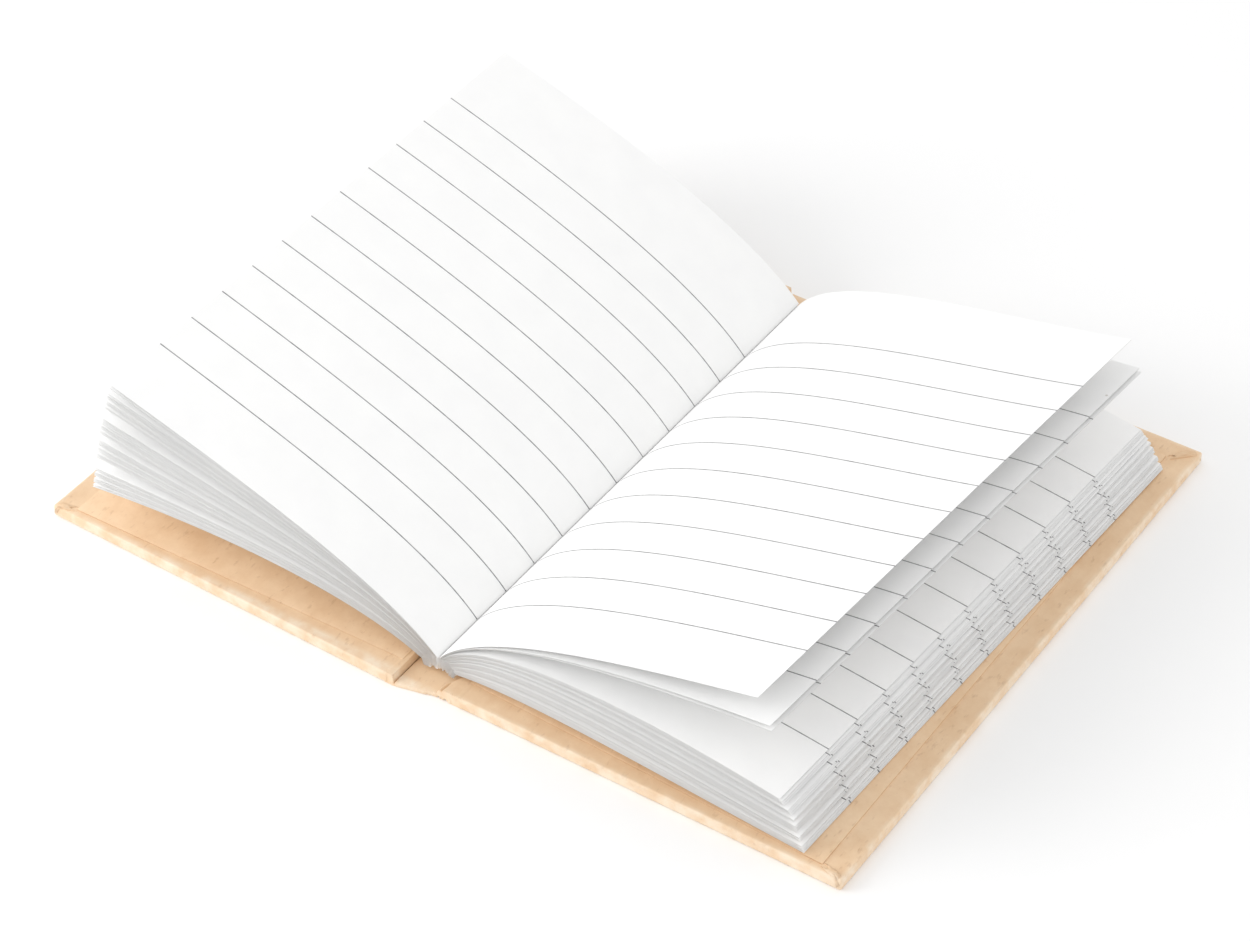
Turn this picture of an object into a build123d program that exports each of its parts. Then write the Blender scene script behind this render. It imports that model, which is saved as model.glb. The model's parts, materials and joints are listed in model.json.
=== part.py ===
from build123d import *
from math import cos, hypot, radians, sin
import os

# Pocket notebook with a hard kraft-paper case, lying open on a table.
# X runs across the spread, Y along the spine towards the head, Z up.
# The origin is under the middle of the open book, on the table.

# driving dimensions, mm
page_height = 102.0
case_height = 111.0
block_offset = -1.5
open_half_width = 71.8
board_thickness = 1.6
kraft_thickness = 0.2
turn_in_width = 14.0
pastedown_margin = 3.2

spine_half_width = 5.0
hinge_clearance = 0.15
fold_line_gap = 0.05
board_setback = 0.8
spine_card_half_width = 4.6
spine_card_thickness = 0.4

section_count = 6
section_pitch = 0.88
section_fold_width = 0.84
fold_seat = 1.5
fold_crown = 4.35
fold_crown_drop = 1.15
fold_back_radius = 0.35
lining_thickness = 0.25
lining_overhang = 0.05
lining_end_gap = 3.0

leaf_thickness = 0.25
leaf_gap = 0.15
root_pull = 0.22
tip_pull = 0.40

# worked out from the driving dimensions
case_half_height = case_height / 2
page_span = (block_offset - page_height / 2, block_offset + page_height / 2)
cover_start = spine_half_width + fold_line_gap
board_start = spine_half_width + board_setback + kraft_thickness
board_end = open_half_width - kraft_thickness
board_top = kraft_thickness + board_thickness
wrap_top = board_top + kraft_thickness
cover_top = wrap_top + kraft_thickness

front = -1
back = 1


def block(x_range, y_range, z_range):
    # a box between two limits on each axis
    sizes = [high - low for low, high in (x_range, y_range, z_range)]
    middles = [(high + low) / 2 for low, high in (x_range, y_range, z_range)]
    return Pos(*middles) * Box(*sizes)


def both_sides(limit):
    return (-limit, limit)


def across(side, near, far):
    # limits on X of a piece that lies between two distances from the spine
    return tuple(sorted((side * near, side * far)))


def grey_board(side):
    return block(
        across(side, board_start, board_end),
        both_sides(case_half_height - kraft_thickness),
        (kraft_thickness, board_top),
    )


def kraft_wrap(side):
    # outer paper of one cover: a panel under the board, turned in round three edges
    shell = block(
        across(side, cover_start, open_half_width), both_sides(case_half_height), (0, wrap_top)
    )
    board_room = block(
        across(side, 0, board_end),
        both_sides(case_half_height - kraft_thickness),
        (kraft_thickness, board_top),
    )
    window = block(
        across(side, 0, open_half_width - turn_in_width),
        both_sides(case_half_height - turn_in_width),
        (board_top, wrap_top),
    )
    hinge_strip = block(
        across(side, 0, board_start), both_sides(case_half_height), (kraft_thickness, wrap_top)
    )
    return shell - board_room - window - hinge_strip


def pastedown(side):
    # inner paper: lies over the turn-ins, on the board between them, and down its hinge edge
    half_height = case_half_height - pastedown_margin
    inner_end = board_start - kraft_thickness
    sheet = block(
        across(side, inner_end, open_half_width - pastedown_margin),
        both_sides(half_height),
        (wrap_top, cover_top),
    )
    pressed_middle = block(
        across(side, board_start, open_half_width - turn_in_width),
        both_sides(case_half_height - turn_in_width),
        (board_top, wrap_top),
    )
    hinge_flap = block(
        across(side, inner_end, board_start), both_sides(half_height), (kraft_thickness, wrap_top)
    )
    return sheet + pressed_middle + hinge_flap


def spine_pieces():
    wrap_half_width = spine_half_width - hinge_clearance
    card_top = kraft_thickness + spine_card_thickness
    yield "spine_kraft_wrap", block(
        both_sides(wrap_half_width), both_sides(case_half_height), (0, kraft_thickness)
    )
    yield "spine_card_strip", block(
        both_sides(spine_card_half_width),
        both_sides(case_half_height - kraft_thickness),
        (kraft_thickness, card_top),
    )
    yield "spine_kraft_lining", block(
        both_sides(spine_card_half_width),
        both_sides(case_half_height - kraft_thickness),
        (card_top, card_top + kraft_thickness),
    )
    yield "text_block_lining", block(
        both_sides(section_count * section_pitch / 2 + lining_overhang),
        (page_span[0] + lining_end_gap, page_span[1] - lining_end_gap),
        (fold_seat - lining_thickness, fold_seat),
    )


def section_fold(number):
    # glued back of one folded section; the middle sections stand highest
    place = (number - (section_count + 1) / 2) * section_pitch
    outermost = (section_count - 1) / 2 * section_pitch
    top = fold_crown - fold_crown_drop * (place / outermost) ** 2
    bar = block(
        (place - section_fold_width / 2, place + section_fold_width / 2),
        page_span,
        (fold_seat, top),
    )
    back_edges = bar.edges().filter_by(Axis.Y).group_by(Axis.Z)[0]
    return fillet(back_edges, fold_back_radius)


# Each curve is one sheet seen from the tail: distance from the spine and height of its
# root, the same of its fore-edge, then the angle at which it rises and the one at which
# it arrives. Sheets are listed from the board up.
front_sheets = [
    (3.4, 2.5, 64.8, 7.6, 31, -6),
    (3.1, 3.4, 62.4, 17.6, 45, 8),
    (2.2, 4.4, 59.6, 26.6, 50, 14),
    (0.6, 4.75, 58.0, 32.2, 50, 18),
]
back_sheets = [
    (3.3, 2.6, 66.6, 2.35, 16, -3),
    (3.1, 3.1, 65.4, 4.8, 32, -4),
    (2.8, 3.7, 64.2, 7.4, 45, -5),
    (2.3, 4.3, 62.3, 9.8, 60, -8),
    (1.6, 4.7, 60.4, 21.0, 53, 8),
    (0.6, 4.8, 58.4, 26.6, 50, 15),
]


def sheet_curve(side, sheet, lowered):
    root_x, root_z, tip_x, tip_z, rise, arrival = sheet
    reach = hypot(tip_x - root_x, tip_z - root_z)
    root_handle = root_pull * reach
    tip_handle = tip_pull * reach
    points = [
        (root_x, root_z),
        (root_x + root_handle * cos(radians(rise)), root_z + root_handle * sin(radians(rise))),
        (tip_x - tip_handle * cos(radians(arrival)), tip_z - tip_handle * sin(radians(arrival))),
        (tip_x, tip_z),
    ]
    return Bezier(*[(side * x, z - lowered) for x, z in points])


def leaves(side, lower_sheet, upper_sheet, lower_drop, upper_drop):
    # the space that a bundle of leaves fills between two sheets
    under = sheet_curve(side, lower_sheet, lower_drop)
    over = sheet_curve(side, upper_sheet, upper_drop)
    outline = [under, Line(under @ 1, over @ 1), over, Line(over @ 0, under @ 0)]
    bundle_face = Plane.XZ * make_face(outline)
    return Pos(0, block_offset, 0) * extrude(bundle_face, amount=page_height / 2, both=True)


def bundle(side, sheets, number):
    return leaves(side, sheets[number], sheets[number + 1], 0, leaf_gap)


def single_leaf(side, sheet):
    return leaves(side, sheet, sheet, leaf_thickness, 0)


def all_pieces():
    for name, side in (("front", front), ("back", back)):
        yield name + "_board", grey_board(side)
        yield name + "_kraft_wrap", kraft_wrap(side)
        yield name + "_pastedown", pastedown(side)
    yield from spine_pieces()
    for number in range(1, section_count + 1):
        yield f"section_{number}_fold", section_fold(number)
    yield "section_1_leaves", bundle(front, front_sheets, 0)
    yield "section_2_leaves", bundle(front, front_sheets, 1)
    yield "section_3_left_leaf", single_leaf(front, front_sheets[3])
    yield "section_3_right_leaf", single_leaf(back, back_sheets[5])
    yield "section_3_second_leaf", single_leaf(back, back_sheets[4])
    yield "section_4_leaves", bundle(back, back_sheets, 2)
    yield "section_5_leaves", bundle(back, back_sheets, 1)
    yield "section_6_leaves", bundle(back, back_sheets, 0)


os.makedirs("parts", exist_ok=True)
for node, solid in all_pieces():
    export_step(solid, f"parts/{node}.step")
    print(node)
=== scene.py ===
import json
import math
import random

import bpy
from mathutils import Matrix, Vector

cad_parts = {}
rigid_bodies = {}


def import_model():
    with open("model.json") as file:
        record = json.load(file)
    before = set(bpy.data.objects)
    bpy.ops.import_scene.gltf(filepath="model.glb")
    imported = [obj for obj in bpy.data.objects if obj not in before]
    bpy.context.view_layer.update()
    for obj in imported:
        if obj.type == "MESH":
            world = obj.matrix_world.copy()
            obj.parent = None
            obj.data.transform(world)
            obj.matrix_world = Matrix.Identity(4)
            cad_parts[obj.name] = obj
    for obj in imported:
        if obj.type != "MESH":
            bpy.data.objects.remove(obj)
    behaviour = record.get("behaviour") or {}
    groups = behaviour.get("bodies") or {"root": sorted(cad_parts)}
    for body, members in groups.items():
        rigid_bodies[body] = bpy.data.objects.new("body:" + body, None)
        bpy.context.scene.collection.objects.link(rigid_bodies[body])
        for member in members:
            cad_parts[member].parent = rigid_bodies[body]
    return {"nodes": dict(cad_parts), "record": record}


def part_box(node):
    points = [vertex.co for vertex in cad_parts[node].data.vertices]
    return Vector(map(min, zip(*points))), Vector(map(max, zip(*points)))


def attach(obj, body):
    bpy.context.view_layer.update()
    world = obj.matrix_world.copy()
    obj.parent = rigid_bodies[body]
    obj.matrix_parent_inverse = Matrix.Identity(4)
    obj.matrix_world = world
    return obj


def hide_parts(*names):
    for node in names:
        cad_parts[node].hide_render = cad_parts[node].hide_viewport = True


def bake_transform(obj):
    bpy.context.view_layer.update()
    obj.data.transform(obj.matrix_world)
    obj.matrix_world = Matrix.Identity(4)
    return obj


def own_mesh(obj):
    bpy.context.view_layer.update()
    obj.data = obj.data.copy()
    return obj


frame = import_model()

random.seed(7)
mm = 0.001
hair = 0.01 * mm         # less than this apart counts as touching
front = -1               # side of the spine each cover opens to
back = 1
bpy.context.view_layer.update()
print("frame loaded,", len(frame["nodes"]), "CAD nodes")


def startClean():
    if bpy.context.object and bpy.context.object.mode != "OBJECT":
        bpy.ops.object.mode_set(mode="OBJECT")
    bpy.ops.object.select_all(action="DESELECT")


def editEdges(piece, wanted):
    # goes to edit mode with only the wanted edges selected
    bpy.ops.object.mode_set(mode="EDIT")
    bpy.ops.mesh.select_mode(type="EDGE")
    bpy.ops.mesh.select_all(action="DESELECT")
    bpy.ops.object.mode_set(mode="OBJECT")
    for edge in piece.data.edges:
        edge.select = wanted([piece.data.vertices[i].co for i in edge.vertices])
    bpy.ops.object.mode_set(mode="EDIT")


def faceOutward():
    bpy.ops.object.mode_set(mode="EDIT")
    bpy.ops.mesh.select_all(action="SELECT")
    bpy.ops.mesh.normals_make_consistent(inside=False)
    bpy.ops.object.mode_set(mode="OBJECT")


def applyModifier(piece, kind, **settings):
    modifier = piece.modifiers.new(kind.title(), kind)
    for key, value in settings.items():
        setattr(modifier, key, value)
    bpy.context.view_layer.objects.active = piece
    bpy.ops.object.modifier_apply(modifier=modifier.name)


def evenShading(piece):
    # large faces set the shading, so narrow edges don't darken them
    shading = piece.modifiers.new("Shading", "WEIGHTED_NORMAL")
    shading.weight = 100


def settle(piece, name, material, smoothAngle=35):
    bpy.ops.object.mode_set(mode="OBJECT")
    bpy.ops.object.transform_apply(location=True, rotation=True, scale=True)
    piece.name = name
    piece.data.name = name
    bpy.ops.object.shade_smooth_by_angle(angle=math.radians(smoothAngle))
    piece.data.materials.clear()
    piece.data.materials.append(material)
    startClean()


def addBlock(low, high):
    # a box between two corners
    startClean()
    low = Vector(low)
    high = Vector(high)
    bpy.ops.mesh.primitive_cube_add(size=1, location=(low + high) / 2, scale=high - low)
    bpy.ops.object.transform_apply(location=True, rotation=True, scale=True)
    return bpy.context.object


def newMaterial(name):
    material = bpy.data.materials.new(name)
    material.use_nodes = True
    nodes = material.node_tree.nodes
    return material, nodes, material.node_tree.links, nodes["Principled BSDF"]


def mathNode(nodes, links, operation, *inputs):
    node = nodes.new("ShaderNodeMath")
    node.operation = operation
    for place, value in enumerate(inputs):
        if isinstance(value, (int, float)):
            node.inputs[place].default_value = value
        else:
            links.new(value, node.inputs[place])
    return node.outputs[0]


def noiseNode(nodes, links, coordinates, scale, detail=3.0, roughness=0.55, stretch=(1, 1, 1)):
    mapping = nodes.new("ShaderNodeMapping")
    mapping.inputs["Scale"].default_value = stretch
    links.new(coordinates, mapping.inputs["Vector"])
    noise = nodes.new("ShaderNodeTexNoise")
    noise.inputs["Scale"].default_value = scale
    noise.inputs["Detail"].default_value = detail
    noise.inputs["Roughness"].default_value = roughness
    links.new(mapping.outputs["Vector"], noise.inputs["Vector"])
    return noise.outputs["Fac"]


def rangeNode(nodes, links, value, low, high, toLow=0.0, toHigh=1.0):
    node = nodes.new("ShaderNodeMapRange")
    node.inputs["From Min"].default_value = low
    node.inputs["From Max"].default_value = high
    node.inputs["To Min"].default_value = toLow
    node.inputs["To Max"].default_value = toHigh
    links.new(value, node.inputs["Value"])
    return node.outputs["Result"]


def mixColour(nodes, links, factor, first, second):
    node = nodes.new("ShaderNodeMix")
    node.data_type = "RGBA"
    for socket, value in ((node.inputs[0], factor), (node.inputs[6], first), (node.inputs[7], second)):
        if isinstance(value, (int, float)):
            socket.default_value = value
        elif isinstance(value, tuple):
            socket.default_value = (*value, 1)
        else:
            links.new(value, socket)
    return node.outputs[2]


def addBump(nodes, links, shader, height, strength, distance):
    bump = nodes.new("ShaderNodeBump")
    bump.inputs["Strength"].default_value = strength
    bump.inputs["Distance"].default_value = distance
    links.new(height, bump.inputs["Height"])
    links.new(bump.outputs["Normal"], shader.inputs["Normal"])


ruling = {
    "firstLine": -42.0 * mm,    # lowest line on the page, along Y
    "pitch": 7.5 * mm,
    "count": 11,
    "width": 0.19 * mm,
    "ink": (0.11, 0.11, 0.12),
    "inkScale": 900.0,
    "softEdge": 0.3,            # share of the half width over which a line fades
    "shift": 0.8 * mm,          # how far the print wanders from sheet to sheet
}


def ruledLines(nodes, links, place):
    # a leaf's own map counts its lines from the tail, so each leaf can be printed a little off
    sheet = nodes.new("ShaderNodeUVMap")
    sheet.uv_map = "ruling"
    split = nodes.new("ShaderNodeSeparateXYZ")
    links.new(sheet.outputs["UV"], split.inputs[0])
    nearest = mathNode(nodes, links, "ROUND", split.outputs["Y"])
    nearest = mathNode(nodes, links, "MAXIMUM", nearest, 0.0)
    nearest = mathNode(nodes, links, "MINIMUM", nearest, float(ruling["count"] - 1))
    away = mathNode(nodes, links, "SUBTRACT", split.outputs["Y"], nearest)
    away = mathNode(nodes, links, "ABSOLUTE", away)
    half = ruling["width"] / ruling["pitch"] / 2
    core = half * (1 - ruling["softEdge"])
    rim = half * (1 + ruling["softEdge"])
    line = rangeNode(nodes, links, away, core, rim, 1.0, 0.0)
    uneven = noiseNode(nodes, links, place, ruling["inkScale"], detail=2.0)
    ink = rangeNode(nodes, links, uneven, 0.35, 0.7, 0.75, 1.0)
    return mathNode(nodes, links, "MULTIPLY", line, ink)


page = {
    "cloudy": (0.925, 0.925, 0.922),
    "clear": (0.95, 0.95, 0.944),
    "fibre": (0.86, 0.85, 0.82),
    "speck": (0.45, 0.40, 0.33),
    "fibreScale": 1500.0,
    "cloudScale": 160.0,
    "speckScale": 48.0,
    "roughness": 0.78,
    "shine": 0.25,
    "relief": 0.18,
    "reliefDepth": 0.04 * mm,
}


def makePagePaper(name, ruled):
    material, nodes, links, shader = newMaterial(name)
    place = nodes.new("ShaderNodeTexCoord").outputs["Object"]
    fibre = noiseNode(nodes, links, place, page["fibreScale"], detail=4.0, roughness=0.7)
    cloud = noiseNode(nodes, links, place, page["cloudScale"])
    cloudy = rangeNode(nodes, links, cloud, 0.3, 0.7)
    sheet = mixColour(nodes, links, cloudy, page["cloudy"], page["clear"])
    fibrous = rangeNode(nodes, links, fibre, 0.62, 0.8, 0.0, 0.25)
    sheet = mixColour(nodes, links, fibrous, sheet, page["fibre"])
    speck = nodes.new("ShaderNodeTexVoronoi")     # a few tiny specks in the pulp
    speck.inputs["Scale"].default_value = page["speckScale"]
    links.new(place, speck.inputs["Vector"])
    specked = rangeNode(nodes, links, speck.outputs["Distance"], 0.010, 0.016, 0.55, 0.0)
    sheet = mixColour(nodes, links, specked, sheet, page["speck"])
    if ruled:
        sheet = mixColour(nodes, links, ruledLines(nodes, links, place), sheet, ruling["ink"])
    links.new(sheet, shader.inputs["Base Color"])
    shader.inputs["Roughness"].default_value = page["roughness"]
    shader.inputs["Specular IOR Level"].default_value = page["shine"]
    addBump(nodes, links, shader, fibre, page["relief"], page["reliefDepth"])
    return material


kraft = {
    "light": (0.87, 0.645, 0.43),
    "dark": (0.74, 0.49, 0.285),
    "fibre": (0.52, 0.30, 0.155),
    # pale edge colour: partly rubbed wear, partly painted highlight
    "wornAndHighlight": (0.93, 0.80, 0.64),
    "edgeWidth": 0.9 * mm,
    "mottleScale": 210.0,
    "streakScale": 420.0,
    "fleckScale": 1300.0,
    "wornAndHighlightScale": 300.0,
    "creaseScale": 90.0,
    "streakStretch": (1, 0.22, 1),        # streaks and flecks run along the spine
    "fleckStretch": (1, 0.35, 1),
    "creaseRelief": 2.5,
    "streakRelief": 0.5,
    "shine": 0.4,
    "relief": 0.18,
    "reliefDepth": 0.12 * mm,
}


def makeKraft():
    material, nodes, links, shader = newMaterial("kraftPaper")
    place = nodes.new("ShaderNodeTexCoord").outputs["Object"]
    split = nodes.new("ShaderNodeSeparateXYZ")
    links.new(place, split.inputs[0])
    mottle = noiseNode(nodes, links, place, kraft["mottleScale"], detail=6.0, roughness=0.68)
    streak = noiseNode(nodes, links, place, kraft["streakScale"],
                       detail=4.0, roughness=0.65, stretch=kraft["streakStretch"])
    fleck = noiseNode(nodes, links, place, kraft["fleckScale"],
                      roughness=0.6, stretch=kraft["fleckStretch"])
    mottled = rangeNode(nodes, links, mottle, 0.3, 0.72, 0.0, 0.75)
    colour = mixColour(nodes, links, mottled, kraft["light"], kraft["dark"])
    streaked = rangeNode(nodes, links, streak, 0.5, 0.8, 0.0, 0.5)
    colour = mixColour(nodes, links, streaked, colour, kraft["dark"])
    flecked = rangeNode(nodes, links, fleck, 0.6, 0.78, 0.0, 0.55)
    colour = mixColour(nodes, links, flecked, colour, kraft["fibre"])
    # pale patchy band where the paper turns over the board's edges: partly rubbed wear, partly painted
    # highlight along the arris
    towardEdge = []
    for axis, limit in (("X", coverHigh.x), ("Y", coverHigh.y)):
        fromMiddle = mathNode(nodes, links, "ABSOLUTE", split.outputs[axis])
        fromEdge = mathNode(nodes, links, "SUBTRACT", limit, fromMiddle)
        towardEdge.append(rangeNode(nodes, links, fromEdge, 0.0, kraft["edgeWidth"], 1.0, 0.0))
    atEdge = mathNode(nodes, links, "MAXIMUM", *towardEdge)
    patches = noiseNode(nodes, links, place, kraft["wornAndHighlightScale"], detail=4.0)
    patches = rangeNode(nodes, links, patches, 0.38, 0.62, 0.1, 0.8)
    wornAndHighlightMask = mathNode(nodes, links, "MULTIPLY", atEdge, patches)
    colour = mixColour(nodes, links, wornAndHighlightMask, colour, kraft["wornAndHighlight"])
    links.new(colour, shader.inputs["Base Color"])
    links.new(rangeNode(nodes, links, streak, 0.3, 0.8, 0.5, 0.68), shader.inputs["Roughness"])
    shader.inputs["Specular IOR Level"].default_value = kraft["shine"]
    creases = noiseNode(nodes, links, place, kraft["creaseScale"], detail=2.0, roughness=0.5)
    creases = mathNode(nodes, links, "MULTIPLY", creases, kraft["creaseRelief"])
    streaks = mathNode(nodes, links, "MULTIPLY", streak, kraft["streakRelief"])
    height = mathNode(nodes, links, "ADD", creases, streaks)
    addBump(nodes, links, shader, height, kraft["relief"], kraft["reliefDepth"])
    return material


board = {
    "dark": (0.36, 0.34, 0.31),
    "pale": (0.50, 0.48, 0.44),
    "pulpScale": 700.0,
    "roughness": 0.85,
    "relief": 0.3,
    "reliefDepth": 0.1 * mm,
}


def makeBoard():
    material, nodes, links, shader = newMaterial("greyBoard")
    place = nodes.new("ShaderNodeTexCoord").outputs["Object"]
    pulp = noiseNode(nodes, links, place, board["pulpScale"], detail=5.0, roughness=0.7)
    colour = mixColour(nodes, links, rangeNode(nodes, links, pulp, 0.3, 0.7), board["dark"], board["pale"])
    links.new(colour, shader.inputs["Base Color"])
    shader.inputs["Roughness"].default_value = board["roughness"]
    addBump(nodes, links, shader, pulp, board["relief"], board["reliefDepth"])
    return material


glue = {
    "thick": (0.80, 0.77, 0.68),
    "thin": (0.88, 0.86, 0.80),
    "smearScale": 500.0,
    "smearStretch": (1, 0.3, 1),          # brushed along the spine
    "relief": 0.4,
    "reliefDepth": 0.1 * mm,
}


def makeGlue():
    material, nodes, links, shader = newMaterial("driedGlue")
    place = nodes.new("ShaderNodeTexCoord").outputs["Object"]
    smear = noiseNode(nodes, links, place, glue["smearScale"],
                      detail=4.0, roughness=0.6, stretch=glue["smearStretch"])
    colour = mixColour(nodes, links, rangeNode(nodes, links, smear, 0.3, 0.7), glue["thick"], glue["thin"])
    links.new(colour, shader.inputs["Base Color"])
    links.new(rangeNode(nodes, links, smear, 0.3, 0.7, 0.3, 0.55), shader.inputs["Roughness"])
    addBump(nodes, links, shader, smear, glue["relief"], glue["reliefDepth"])
    return material


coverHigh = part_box("back_kraft_wrap")[1]
ruledPaper = makePagePaper("ruledPaper", True)
plainPaper = makePagePaper("plainPaper", False)
kraftPaper = makeKraft()
greyBoard = makeBoard()
driedGlue = makeGlue()
for nodeName, node in frame["nodes"].items():
    if "board" in nodeName or "card" in nodeName:
        finish = greyBoard
    elif "kraft" in nodeName or "pastedown" in nodeName:
        finish = kraftPaper
    elif "lining" in nodeName:
        finish = driedGlue
    else:
        finish = plainPaper
    node.data.materials.clear()
    node.data.materials.append(finish)
print("materials made")


cover = {
    "hingeEnd": 5.8 * mm,        # distance of the board's covered hinge edge from the middle
    "edgeRound": 0.35 * mm,
    "roundSteps": 3,
}

tailEdge = {
    "drop": 1.6 * mm,            # the front board was cut out of square, longest at the hinge
    "deepest": -5.0 * mm,
    "squareFrom": 2.0 * mm,
}


def cutTail(piece):
    # carries the slanted tail edge through every kraft piece that it crosses
    for vertex in piece.data.vertices:
        x, y, _ = vertex.co
        if x < tailEdge["deepest"]:
            share = (x + coverHigh.x) / (tailEdge["deepest"] + coverHigh.x)
        else:
            share = (tailEdge["squareFrom"] - x) / (tailEdge["squareFrom"] - tailEdge["deepest"])
        if y < 0 and share > 0:
            vertex.co.y = y * (1 + share * tailEdge["drop"] / coverHigh.y)


def across(side, near, far):
    return sorted((side * near, side * far))


def coverPaper(side, body, node):
    low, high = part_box(node)
    xLow, xHigh = across(side, cover["hingeEnd"], coverHigh.x)
    piece = addBlock((xLow, low.y, 0), (xHigh, high.y, high.z))
    applyModifier(piece, "BEVEL", width=cover["edgeRound"], segments=cover["roundSteps"])
    cutTail(piece)
    name = body.split("_")[0]
    settle(piece, name + "CoverPaper", kraftPaper)
    evenShading(piece)
    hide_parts(node)
    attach(piece, body)


pastedownCut = {
    "thickness": 0.16 * mm,
    "foreMargin": 3.9 * mm,
    "tailAtHinge": 3.7 * mm,     # the sheet was glued in a little askew
    "tailAtFore": 1.3 * mm,
    "headAtHinge": 2.6 * mm,
    "headAtFore": 4.2 * mm,
    "flapDepth": 1.75 * mm,
    "foreSlant": 0.5 * mm,
    "undercut": 0.35 * mm,       # its tail edge stands a little proud and shades a line below it
    "undercutFrom": 6.4 * mm,
    "edgeRound": 0.05 * mm,
}


def pastedownPaper(side, body, node):
    cut = pastedownCut
    startClean()
    bpy.ops.mesh.primitive_plane_add(size=1)
    piece = bpy.context.object
    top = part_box(node)[1].z - cut["thickness"]
    foreEdge = coverHigh.x - cut["foreMargin"]
    for vertex in piece.data.vertices:
        atFore = vertex.co.x * side > 0
        atHead = vertex.co.y > 0
        if atHead:
            y = coverHigh.y - (cut["headAtFore"] if atFore else cut["headAtHinge"])
        else:
            y = -coverHigh.y + (cut["tailAtFore"] if atFore else cut["tailAtHinge"])
        slant = cut["foreSlant"] if atHead else 0
        x = foreEdge - slant if atFore else cover["hingeEnd"]
        vertex.co = (side * x, y, top)
    nearHinge = (cover["hingeEnd"] + foreEdge) / 2
    editEdges(piece, lambda ends: all(abs(end.x) < nearHinge for end in ends))
    bpy.ops.mesh.extrude_edges_move(TRANSFORM_OT_translate={"value": (0, 0, -cut["flapDepth"])})
    bpy.ops.object.mode_set(mode="OBJECT")
    faceOutward()
    if max(piece.data.polygons, key=lambda f: f.area).normal.z < 0:
        piece.data.flip_normals()
    applyModifier(piece, "SOLIDIFY", thickness=cut["thickness"], offset=1.0)
    applyModifier(piece, "BEVEL", width=cut["edgeRound"], segments=2, limit_method="ANGLE")
    for vertex in piece.data.vertices:
        if vertex.co.z < top + hair and vertex.co.y < 0 and abs(vertex.co.x) > cut["undercutFrom"]:
            vertex.co.y += cut["undercut"]
    cutTail(piece)
    name = body.split("_")[0]
    settle(piece, name + "Pastedown", kraftPaper)
    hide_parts(node)
    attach(piece, body)


cornerTuck = {
    "startOut": 0.10 * mm,       # how far outside the pastedown's corner the tuck starts
    "startWidth": 0.42 * mm,
    "endWidth": 0.66 * mm,
    "lift": 0.10 * mm,
    "height": 0.6,               # share of its width that it stands up
    "mouth": 1.0 * mm,           # its inner end is cut on the slant, so it gapes upward
    "thickness": 0.08 * mm,
    "crumple": 0.07 * mm,
    "endLow": 0.9 * mm,
    "sides": 14,
    "cuts": 5,
    "dropPower": 9,              # runs flat, then drops over the edge
}


def foldedCorner(side, body, along):
    # the turned-in paper is tucked at each outer corner: a flattened flute, open at both ends
    tuck = cornerTuck
    cut = pastedownCut
    margin = cut["tailAtFore"] if along < 0 else cut["headAtFore"]
    startX = coverHigh.x - cut["foreMargin"] + tuck["startOut"]
    start = Vector((startX, coverHigh.y - margin, coverHigh.z + tuck["lift"]))
    end = Vector((coverHigh.x - cover["edgeRound"], coverHigh.y - cover["edgeRound"], tuck["endLow"]))
    startClean()
    bpy.ops.mesh.primitive_cylinder_add(vertices=tuck["sides"], radius=1, depth=2, end_fill_type="NOTHING")
    piece = bpy.context.object
    bpy.ops.object.mode_set(mode="EDIT")
    bpy.ops.mesh.select_all(action="SELECT")
    bpy.ops.mesh.subdivide(number_cuts=tuck["cuts"])
    bpy.ops.object.mode_set(mode="OBJECT")
    run = (end - start).normalized()
    sideways = run.cross(Vector((0, 0, 1))).normalized()
    upward = sideways.cross(run)
    for vertex in piece.data.vertices:
        share = (vertex.co.z + 1) / 2
        width = tuck["startWidth"] + (tuck["endWidth"] - tuck["startWidth"]) * share
        crest = start.lerp(end, share)
        crest.z = start.z + (end.z - start.z) * share ** tuck["dropPower"]
        crest += sideways * vertex.co.x * width + upward * vertex.co.y * width * tuck["height"]
        crest += run * max(0, vertex.co.y) * tuck["mouth"] * (1 - share) ** 4
        crest += Vector([random.uniform(-1, 1) * tuck["crumple"] * share for _ in range(3)])
        vertex.co = (side * crest.x, along * crest.y, crest.z)
    faceOutward()
    applyModifier(piece, "SOLIDIFY", thickness=tuck["thickness"], offset=0.0)
    corner = "Tail" if along < 0 else "Head"
    settle(piece, body.split("_")[0] + corner + "Tuck", kraftPaper, smoothAngle=60)
    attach(piece, body)


joint = {
    "innerEnd": 4.2 * mm,
    "outerEnd": 6.4 * mm,
    "bendFrom": 4.3 * mm,
    "bendTo": 5.75 * mm,
    "thickness": 0.45 * mm,
    "inset": 0.1 * mm,
    "cutsAcross": 24,
    "cutsAlong": 12,
    "fullness": 0.98,
}


def jointPaper(side, body):
    startClean()
    bpy.ops.mesh.primitive_grid_add(
        x_subdivisions=joint["cutsAcross"], y_subdivisions=joint["cutsAlong"], size=1)
    piece = bpy.context.object
    for vertex in piece.data.vertices:
        x = joint["innerEnd"] + (vertex.co.x + 0.5) * (joint["outerEnd"] - joint["innerEnd"])
        vertex.co = (side * x, vertex.co.y * 2 * (coverHigh.y - joint["inset"]), joint["thickness"] / 2)
    if side == front:
        piece.data.flip_normals()
    applyModifier(piece, "SOLIDIFY", thickness=joint["thickness"] * joint["fullness"], offset=0.0)
    cutTail(piece)
    settle(piece, body.split("_")[0] + "JointPaper", kraftPaper)
    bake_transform(piece)


jointFold = {
    "end": 6.7 * mm,
    "levelTo": 5.9 * mm,
    "rise": 2.06 * mm,
    "sunk": 1.94 * mm,           # its far edge lies just under the cover's paper
    "base": 0.45 * mm,
    "inset": 0.1 * mm,
    "footSunk": 0.1 * mm,        # its foot is tucked under the panel's surface
    "fullness": 0.7,             # below 1, the fold swells out from a plain quarter wave
    "pinchReach": 3.0 * mm,      # how far from the tail the foot is pinched
    "bendFrom": 3.3 * mm,
    "cutsAcross": 48,
    "cutsAlong": 90,
}
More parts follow.
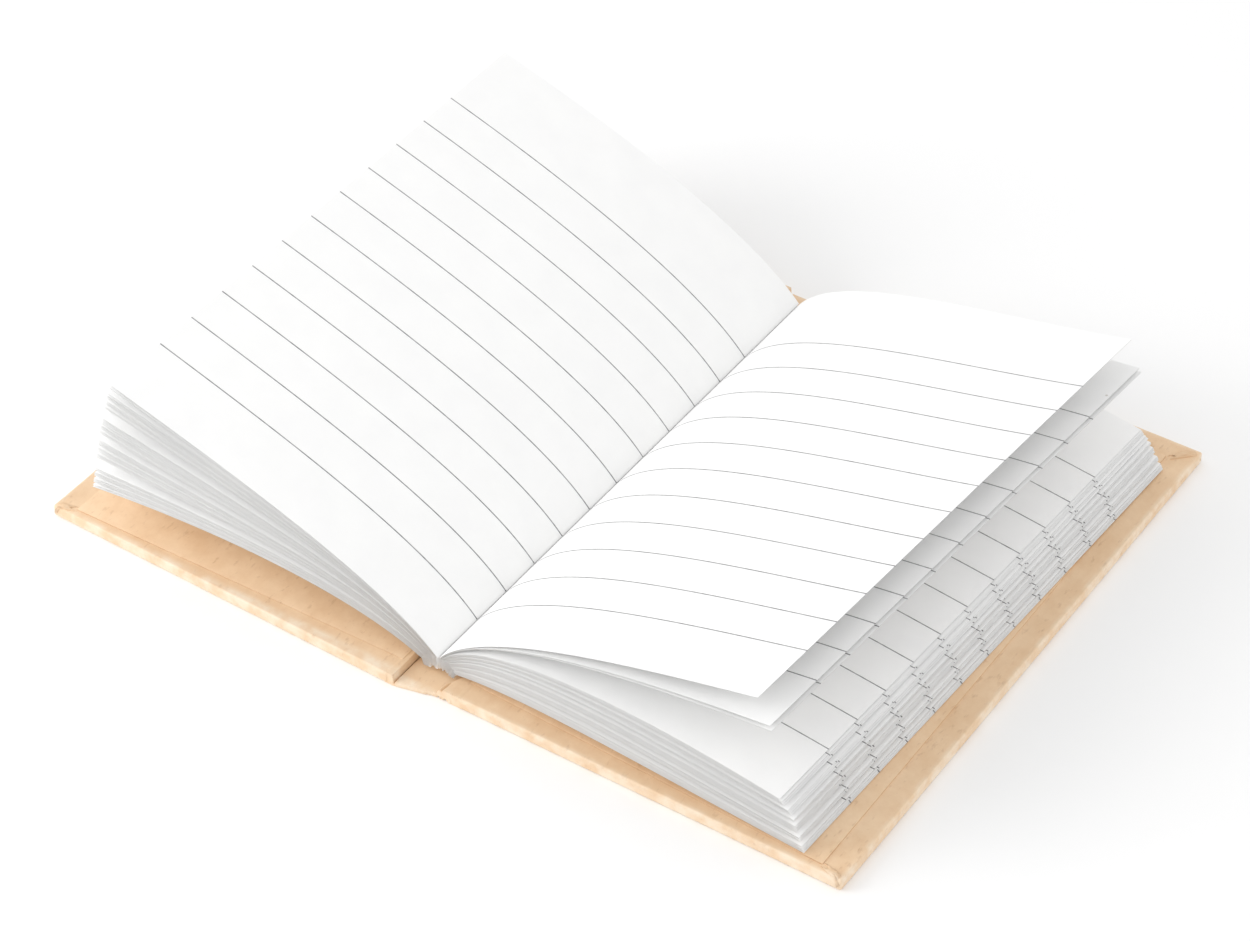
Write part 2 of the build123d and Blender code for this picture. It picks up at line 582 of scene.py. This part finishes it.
# foot is where the kraft leaves the spine panel, shoulder where it reaches the board's height
foldShape = {
    front: {"foot": 4.80 * mm, "shoulder": 4.98 * mm, "tailShift": 0.0, "creaseDepth": 0.0},
    back: {"foot": 3.30 * mm, "shoulder": 4.30 * mm, "tailShift": 1.35 * mm, "creaseDepth": 0.5 * mm},
}
crease = {
    "at": 2.85 * mm,
    "lean": 0.12,
    "width": 0.2 * mm,
    "length": 2.7 * mm,
}
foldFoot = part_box("spine_kraft_lining")[1].z - jointFold["footSunk"]


def foldHeight(side, x, fromTail):
    # the kraft climbs from the spine panel to the board in one fold, fuller and pinched at the tail
    shape = foldShape[side]
    shift = shape["tailShift"] * math.exp(-(fromTail / jointFold["pinchReach"]) ** 4)
    climb = min(1, max(0, (x + shift - shape["foot"]) / (shape["shoulder"] - shape["foot"])))
    swell = math.sin(climb * math.pi / 2) ** jointFold["fullness"]
    z = foldFoot + (jointFold["rise"] - foldFoot) * swell
    sink = min(1, max(0, (x - jointFold["levelTo"]) / (jointFold["end"] - jointFold["levelTo"])))
    z -= (jointFold["rise"] - jointFold["sunk"]) * sink * sink * (3 - 2 * sink)
    offLine = (x - crease["at"] - crease["lean"] * fromTail) / crease["width"]
    reach = fromTail / crease["length"]
    return max(foldFoot, z - shape["creaseDepth"] * math.exp(-offLine ** 2 - reach ** 4))


def jointFoldPaper(side, body):
    startClean()
    bpy.ops.mesh.primitive_grid_add(
        x_subdivisions=jointFold["cutsAcross"], y_subdivisions=jointFold["cutsAlong"], size=1)
    piece = bpy.context.object
    half = coverHigh.y - jointFold["inset"]
    foot = foldShape[side]["foot"] - foldShape[side]["tailShift"]
    for vertex in piece.data.vertices:
        x = foot + (vertex.co.x + 0.5) * (jointFold["end"] - foot)
        fromTail = 2 * half * (vertex.co.y + 0.5) ** 2       # closer rows towards the tail
        vertex.co = (side * x, fromTail - half, foldHeight(side, x, fromTail))
    bpy.ops.object.mode_set(mode="EDIT")
    bpy.ops.mesh.select_all(action="SELECT")
    bpy.ops.mesh.extrude_region_move(TRANSFORM_OT_translate={"value": (0, 0, -mm)})
    bpy.ops.object.mode_set(mode="OBJECT")
    for vertex in piece.data.vertices:
        if vertex.select:
            vertex.co.z = jointFold["base"]
    faceOutward()
    cutTail(piece)
    settle(piece, body.split("_")[0] + "JointFold", kraftPaper)
    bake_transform(piece)


spinePanel = {
    "cuts": 36,
    "fray": 0.30 * mm,
    "frayFrom": 0.5 * mm,
    "frayTo": 4.0 * mm,
    "frayOut": -0.2,             # a few fibres stand out past the cut, as a share of the fray
    "edgeRound": 0.12 * mm,
    "roundFrom": 1.2,            # radians between two faces
}


def spinePaper():
    low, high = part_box("spine_kraft_lining")
    wrapLow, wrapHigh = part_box("spine_kraft_wrap")
    piece = addBlock((low.x, wrapLow.y, 0), (high.x, wrapHigh.y, high.z))
    bpy.ops.object.mode_set(mode="EDIT")
    for cut in range(1, spinePanel["cuts"]):
        x = low.x + (high.x - low.x) * cut / spinePanel["cuts"]
        bpy.ops.mesh.select_all(action="SELECT")
        bpy.ops.mesh.bisect(plane_co=(x, 0, 0), plane_no=(1, 0, 0))
    bpy.ops.object.mode_set(mode="OBJECT")
    for vertex in piece.data.vertices:
        if vertex.co.y < 0 and spinePanel["frayFrom"] < vertex.co.x < spinePanel["frayTo"]:
            vertex.co.y += random.uniform(spinePanel["frayOut"], 1) * spinePanel["fray"]
    applyModifier(piece, "BEVEL", width=spinePanel["edgeRound"], segments=2,
                  limit_method="ANGLE", angle_limit=spinePanel["roundFrom"])
    cutTail(piece)
    settle(piece, "spinePaper", kraftPaper)
    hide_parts("spine_kraft_wrap", "spine_kraft_lining")
    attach(piece, "spine")


for side, body in ((front, "front_cover"), (back, "back_cover")):
    half = body.split("_")[0]
    coverPaper(side, body, half + "_kraft_wrap")
    pastedownPaper(side, body, half + "_pastedown")
    foldedCorner(side, body, -1)
    foldedCorner(side, body, 1)
    jointPaper(side, body)
    jointFoldPaper(side, body)
spinePaper()
print("covers made")


sectionBack = {
    "folds": 4,                  # folded sheets that show at each section's end
    "sheetShare": 0.82,
    "inset": 0.5 * mm,
    "raggedEnd": 1.0 * mm,
    "raggedTop": 0.9 * mm,
    "edgeRound": 0.05 * mm,
}


def foldedSection(node):
    low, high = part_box(node)
    pitch = (high.x - low.x) / sectionBack["folds"]
    startClean()
    piece = None
    for fold in range(sectionBack["folds"]):
        tail = low.y + sectionBack["inset"] + random.uniform(0, sectionBack["raggedEnd"])
        head = high.y - random.uniform(0, sectionBack["raggedEnd"])
        crown = high.z - random.uniform(0, sectionBack["raggedTop"])
        middle = (low.x + pitch * (fold + 0.5), (tail + head) / 2, (low.z + crown) / 2)
        size = (pitch * sectionBack["sheetShare"], head - tail, crown - low.z)
        if piece is None:
            bpy.ops.mesh.primitive_cube_add(size=1, location=middle, scale=size)
            piece = bpy.context.object
            bpy.ops.object.transform_apply(location=True, rotation=True, scale=True)
            bpy.ops.object.mode_set(mode="EDIT")
        else:
            bpy.ops.mesh.primitive_cube_add(size=1, location=middle, scale=size)
    bpy.ops.object.mode_set(mode="OBJECT")
    applyModifier(piece, "BEVEL", width=sectionBack["edgeRound"], segments=2, limit_method="ANGLE")
    number = node.split("_")[1]
    settle(piece, f"sectionBack{number}", plainPaper)
    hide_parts(node)
    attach(piece, "spine")


for nodeName in sorted(frame["nodes"]):
    if nodeName.endswith("_fold"):
        foldedSection(nodeName)
print("section backs made")


leaf = {
    "halfHeight": 51.0 * mm,
    "rootMiddle": -1.1 * mm,     # the text block sits a little towards the tail
    "thickness": 0.07 * mm,
    "rootPull": 0.22,            # how far each end's direction carries into the curve
    "tipPull": 0.40,
    "alongCuts": 34,
    "heightCuts": 22,
    "cutPower": 1.3,             # above 1, the cuts are finer near the spine, where it curls
    "outerSlot": 2.68 * mm,      # where the outermost leaf lies in the closed book
    "innerSlot": 0.10 * mm,
    "bundleGap": 2,
    "stub": 2.1 * mm,            # most of the sheets run on down into their section
    "stubShare": (0.5, 1),
    "stubLowest": 1.6 * mm,
    "swell": (0.04 * mm, 0.10 * mm),
    "waves": 5,                  # radians of swell from tail to head
    "wavePhase": 6.28,
    "keep": 0.01,
    "sectionCrown": 4.25 * mm,
    "crownDrop": 0.235 / mm,     # the roots fall away from the middle by this times x squared
}

# A sheet is, in mm and degrees: its fore-edge at the tail (distance, height), the same at the
# head, the angle at which it rises from the spine and the one at which it arrives. The sheets
# between a bundle's lower and upper one are blended, and "gaps" says how far apart they lie.
frontBundles = [
    {"body": "section_1", "node": "section_1_leaves",
     "gaps": (1, 2, 1, 1, 2, 1, 1, 2, 1, 7, 1, 1, 2, 1, 1, 2, 1, 1, 1),
     "lower": (64.6, 8.0, 65.0, 7.4, 31, -6), "upper": (62.0, 18.6, 61.8, 20.0, 44, 9)},
    {"body": "section_2", "node": "section_2_leaves",
     "gaps": (1, 2, 1, 1, 1, 2, 1, 1, 7, 1, 2, 1, 1, 2, 1, 1, 1),
     "lower": (61.7, 20.2, 61.3, 21.8, 46, 10), "upper": (59.0, 29.0, 58.6, 31.4, 48, 15)},
    {"body": "left_leaf", "node": "section_3_left_leaf", "gaps": (1,), "stub": 0,
     "lower": (58.5, 30.3, 58.1, 32.8, 49, 17), "upper": (58.2, 31.0, 57.8, 33.5, 50, 18)},
]
backBundles = [
    {"body": "section_6", "node": "section_6_leaves", "gaps": (1, 1, 1, 2, 4, 1, 1, 1),
     "lower": (64.8, 2.45, 68.6, 2.45, 13, -2), "upper": (63.8, 5.0, 67.4, 4.4, 31, -4)},
    {"body": "section_5", "node": "section_5_leaves", "gaps": (1, 1, 1, 1, 4, 1),
     "lower": (63.4, 5.9, 66.9, 5.1, 36, -4), "upper": (62.9, 7.9, 66.0, 6.6, 44, -5)},
    {"body": "section_4", "node": "section_4_leaves", "gaps": (1, 1, 1, 3, 1, 1, 2),
     "lower": (62.5, 8.7, 65.5, 7.1, 46, -6), "upper": (60.5, 10.8, 64.1, 8.4, 51, -8)},
    {"body": "second_leaf", "node": "section_3_second_leaf", "gaps": (1,),
     "lower": (58.8, 23.2, 63.0, 19.6, 54, 7), "upper": (58.5, 24.0, 62.6, 20.2, 54, 8)},
    {"body": "right_leaf", "node": "section_3_right_leaf", "gaps": (), "stub": 0,
     "lower": (56.4, 28.4, 60.7, 25.0, 54, 15), "upper": (56.4, 28.4, 60.7, 25.0, 54, 15)},
]
slip = {front: -1.5 * mm, back: -2.0 * mm}   # how far fore-edges sit below the roots


def swing(body):
    # pivot of a leaf body and the angle of its chord at rest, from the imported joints
    behaviour = frame["record"]["behaviour"]
    fan = next(j for j in behaviour["joints"] if j["child"] == body)
    couplings = [c for c in behaviour["couplings"] if c["joint"] == fan["name"]]
    if not couplings:            # a leaf that turns by itself closes with the one it is hinged to
        return swing(fan["parent"])
    driver = next(j for j in behaviour["joints"] if j["name"] == couplings[0]["follows"])
    travel = max(driver["range_deg"])
    return Vector(fan["pos_m"]), math.radians(travel * (1 - couplings[0]["ratio"])), driver["name"]


def sheetPoint(side, sheet, slotX, along, up):
    nearX, nearZ, farX, farZ, rise, arrival = sheet
    tipX = (nearX + (farX - nearX) * up) * mm
    tipZ = (nearZ + (farZ - nearZ) * up) * mm
    rootX = slotX
    rootZ = leaf["sectionCrown"] - leaf["crownDrop"] * slotX ** 2
    reach = math.hypot(tipX - rootX, tipZ - rootZ)
    rootPull = leaf["rootPull"] * reach
    tipPull = leaf["tipPull"] * reach
    rise = math.radians(rise)
    arrival = math.radians(arrival)
    xs = (rootX, rootX + rootPull * math.cos(rise), tipX - tipPull * math.cos(arrival), tipX)
    zs = (rootZ, rootZ + rootPull * math.sin(rise), tipZ - tipPull * math.sin(arrival), tipZ)
    toGo = 1 - along
    share = (toGo ** 3, 3 * toGo * toGo * along, 3 * toGo * along * along, along ** 3)
    return side * sum(w * x for w, x in zip(share, xs)), sum(w * z for w, z in zip(share, zs))


def printRuling(piece, shift):
    # lays the ruling's own map on a leaf: along it, and up it in line pitches
    mapped = piece.data.uv_layers.new(name="ruling")
    for loop in piece.data.loops:
        place = piece.data.vertices[loop.vertex_index].co
        lines = (place.y + shift - ruling["firstLine"]) / ruling["pitch"]
        mapped.data[loop.index].uv = (abs(place.x) / ruling["pitch"], lines)


def addLeaf(name, side, bundle, sheet, slotX, shift):
    startClean()
    bpy.ops.mesh.primitive_grid_add(
        x_subdivisions=leaf["alongCuts"], y_subdivisions=leaf["heightCuts"], size=1)
    piece = bpy.context.object
    phase = random.uniform(0, leaf["wavePhase"])
    swell = random.uniform(*leaf["swell"])
    stub = leaf["stub"] * random.uniform(*leaf["stubShare"]) * bundle.get("stub", 1)
    for vertex in piece.data.vertices:
        along = (vertex.co.x + 0.5) ** leaf["cutPower"]
        up = vertex.co.y + 0.5
        x, z = sheetPoint(side, sheet, slotX, along, up)
        z += swell * along * along * math.sin(phase + leaf["waves"] * up)
        if along == 0:
            z = max(leaf["stubLowest"], z - stub)
        middle = leaf["rootMiddle"] + slip[side] * along
        vertex.co = (x, middle + (2 * up - 1) * leaf["halfHeight"], z)
    if side == front:
        piece.data.flip_normals()
    printRuling(piece, shift)
    settle(piece, name, ruledPaper, smoothAngle=60)
    paper = piece.modifiers.new("Paper", "SOLIDIFY")   # stays live, so a closed leaf keeps its thickness
    paper.thickness = leaf["thickness"]
    paper.offset = 0.0
    evenShading(piece)           # keeps the thin rim out of the page's shading
    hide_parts(bundle["node"])
    pivot, chord, driver = swing(bundle["body"])
    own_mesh(piece)
    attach(piece, bundle["body"])


def sheetsOf(bundle):
    total = sum(bundle["gaps"]) or 1
    place = 0
    yield bundle["lower"]
    for gap in bundle["gaps"]:
        place += gap
        share = place / total
        yield tuple(a + (b - a) * share for a, b in zip(bundle["lower"], bundle["upper"]))


def addLeaves(side, bundles, half):
    # sheets that lie close at the fore-edge lie close at the spine too, and only the open page's
    # ruling isn't shifted
    steps = []
    for bundle in bundles:
        steps += [math.sqrt(gap) for gap in (leaf["bundleGap"], *bundle["gaps"])]
    spread = sum(steps[1:])
    place = -steps[0]
    number = 0
    for bundle in bundles:
        for sheet in sheetsOf(bundle):
            place += steps[number]
            number += 1
            slotX = leaf["outerSlot"] - (leaf["outerSlot"] - leaf["innerSlot"]) * place / spread
            shift = random.uniform(-1, 1) * ruling["shift"] if number < len(steps) else 0
            addLeaf(f"{half}Leaf{number}", side, bundle, sheet, slotX, shift)


addLeaves(front, frontBundles, "front")
addLeaves(back, backBundles, "back")
print("leaves made")


stage = {
    "floorSize": 6.0,
    "floorColour": (0.96, 0.96, 0.96),
    "floorDrop": 0.02 * mm,
    "floorRoughness": 0.9,
    "floorShine": 0.1,
    "skyStrength": 0.89,
    "keyPower": 1.3,
    "keySize": 0.9,
    "keyPlace": (-0.75, -0.15, 1.0),
    "fillPower": 1.15,
    "fillSize": 0.3,
    "fillPlace": (-0.38, -0.34, 0.24),
    "edgePower": 0.2,
    "edgeSize": 0.3,
    "edgePlace": (0.5, -0.05, 0.3),
}

camera = {
    "aim": (-2.0 * mm, 0.8 * mm, 2.1 * mm),
    "azimuth": 33.68,
    "elevation": 40.76,
    "distance": 0.5739,
    "lens": 104.75,
    "nearest": 0.01,
}


def addFloor():
    startClean()
    bpy.ops.mesh.primitive_plane_add(size=stage["floorSize"], location=(0, 0, -stage["floorDrop"]))
    floor = bpy.context.object
    floor.name = "floor"
    material, nodes, links, shader = newMaterial("paleFloor")
    shader.inputs["Base Color"].default_value = (*stage["floorColour"], 1)
    shader.inputs["Roughness"].default_value = stage["floorRoughness"]
    shader.inputs["Specular IOR Level"].default_value = stage["floorShine"]
    floor.data.materials.append(material)


def addSoftbox(name, power, size, place):
    light = bpy.data.lights.new(name, "AREA")
    light.energy = power
    light.size = size
    holder = bpy.data.objects.new(name, light)
    holder.location = place
    holder.rotation_euler = (-Vector(place)).to_track_quat("-Z", "Y").to_euler()     # faces the book
    bpy.context.scene.collection.objects.link(holder)


def addSky():
    world = bpy.data.worlds.new("studio")
    world.use_nodes = True
    sky = world.node_tree.nodes["Background"]
    sky.inputs["Color"].default_value = (1, 1, 1, 1)
    sky.inputs["Strength"].default_value = stage["skyStrength"]
    bpy.context.scene.world = world


def addCamera():
    turn = math.radians(camera["azimuth"])
    rise = math.radians(camera["elevation"])
    backward = Vector((math.sin(turn) * math.cos(rise), -math.cos(turn) * math.cos(rise), math.sin(rise)))
    lens = bpy.data.cameras.new("bookCamera")
    lens.lens = camera["lens"]
    lens.clip_start = camera["nearest"]
    holder = bpy.data.objects.new("bookCamera", lens)
    holder.location = Vector(camera["aim"]) + backward * camera["distance"]
    holder.rotation_euler = (-backward).to_track_quat("-Z", "Y").to_euler()
    bpy.context.scene.collection.objects.link(holder)
    bpy.context.scene.camera = holder


addFloor()
addSky()
addSoftbox("key", stage["keyPower"], stage["keySize"], stage["keyPlace"])
addSoftbox("fill", stage["fillPower"], stage["fillSize"], stage["fillPlace"])
addSoftbox("edge", stage["edgePower"], stage["edgeSize"], stage["edgePlace"])
addCamera()
bpy.context.scene.view_settings.view_transform = "Standard"
